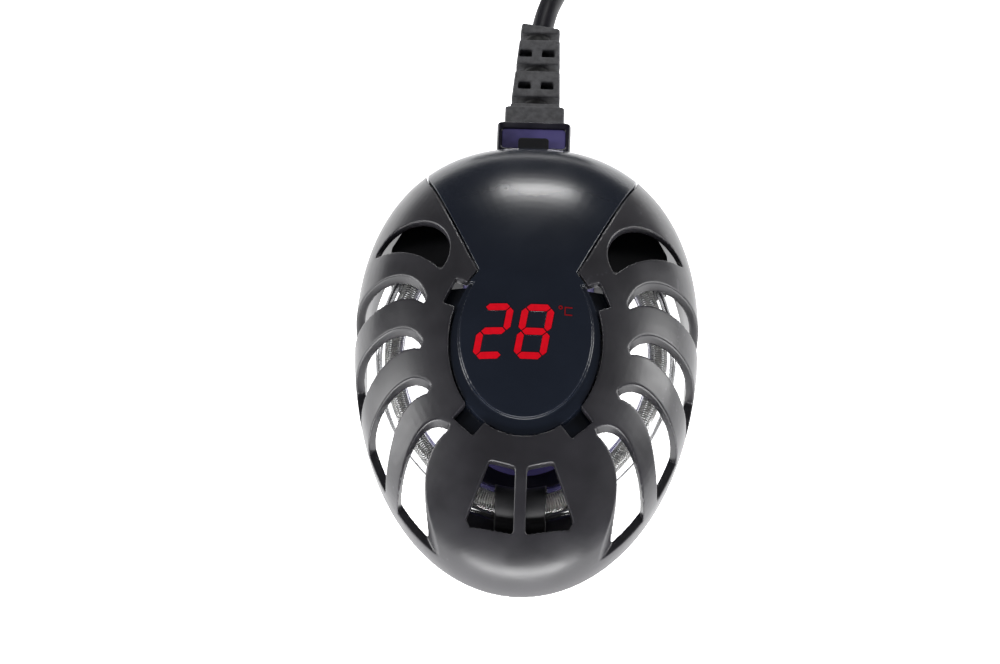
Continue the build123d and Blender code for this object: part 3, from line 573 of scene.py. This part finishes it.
def coil_point(angle):
    """The cord's place at an angle in degrees: three turns inward, a climb, then three turns outward."""
    lane_step = LANES[0] - LANES[1]
    inward = sum(eased(angle, *change) for change in LANE_CHANGES_IN)
    outward = sum(eased(angle, *change) for change in LANE_CHANGES_OUT)
    radius = LANES[0] - lane_step * (inward - outward)
    height = LOW_LAYER + (HIGH_LAYER - LOW_LAYER) * eased(angle, *CLIMB)
    drawn_in = math.cos(math.pi / POINTS_A_TURN)  # the cord's spline runs this much inside its points
    turn = math.radians(angle)
    x = COIL_CENTRE[0] + radius / drawn_in * math.cos(turn)
    y = COIL_CENTRE[1] + radius / drawn_in * math.sin(turn)
    return (x, y, height)


coil_steps = round(COIL_END_ANGLE / 360 * POINTS_A_TURN)
coil_route = [coil_point(COIL_END_ANGLE * step / coil_steps) for step in range(coil_steps + 1)]
cord_points = [*LEAD_ROUTE, *coil_route, *TAIL_ROUTE]
cord_curve = bpy.data.curves.new("mains_cord", "CURVE")
cord_curve.dimensions = "3D"
cord_curve.resolution_u = 8
cord_curve.bevel_depth = CORD_DIAMETER / 2 * MM
cord_curve.bevel_resolution = 5
cord_curve.use_fill_caps = True
spline = cord_curve.splines.new("NURBS")
spline.points.add(len(cord_points) - 1)
for point, place in zip(spline.points, cord_points):
    point.co = (*(number * MM for number in place), 1)
spline.order_u = 3
spline.use_endpoint_u = True
cord_curve.materials.append(materials["cord_rubber"])
cord = bpy.data.objects.new("mains_cord", cord_curve)
scene.collection.objects.link(cord)
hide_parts("cord_lead", "cord_coil", "cord_tail")
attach(cord, "housing")

# ---- floor and light ----
FLOOR_HALF = 1.6
FLOOR_GLOW = 1.7
WORLD_GLOW = 0.08
FLOOR_SHADES = ((0.88, 0.88, 0.89, 1), (0.92, 0.92, 0.92, 1))
floor_mesh = bpy.data.meshes.new("floor")
corners = [(x * FLOOR_HALF, y * FLOOR_HALF, 0) for x, y in ((-1, -1), (1, -1), (1, 1), (-1, 1))]
floor_mesh.from_pydata(corners, [], [(0, 1, 2, 3)])
floor = bpy.data.objects.new("floor", floor_mesh)
scene.collection.objects.link(floor)
floor_graph = Graph("floor")
floor_mesh.materials.append(
    floor_graph.finish(
        {
            "Base Color": floor_graph.mix(floor_graph.noise(90), FLOOR_SHADES[0], FLOOR_SHADES[1]),
            "Roughness": 0.7,
            "Emission Color": (1, 1, 1, 1),
            "Emission Strength": FLOOR_GLOW,
        }
    )
)

world = bpy.data.worlds.new("studio")
world.use_nodes = True
background = world.node_tree.nodes["Background"].inputs
background["Color"].default_value = (0.95, 0.97, 1.0, 1)
background["Strength"].default_value = WORLD_GLOW
scene.world = world

# name: place, size across and along, power
LIGHTS = {
    "back_softbox": ((0.03, 1.0, 0.70), (0.36, 0.1), 3.5),
    "left_softbox": ((-0.95, 0.0, 0.36), (0.25, 0.8), 5.0),
    "right_softbox": ((0.95, 0.2, 0.45), (0.25, 0.6), 4.5),
    "front_softbox": ((0.0, -0.75, 0.09), (1.1, 0.14), 7.0),
}
for name, (place, size, power) in LIGHTS.items():
    lamp = bpy.data.lights.new(name, "AREA")
    lamp.shape = "RECTANGLE"
    lamp.size, lamp.size_y = size
    lamp.energy = power
    holder = bpy.data.objects.new(name, lamp)
    scene.collection.objects.link(holder)
    holder.location = place
    holder.rotation_euler = (Vector(place) - TARGET).to_track_quat("Z", "Y").to_euler()
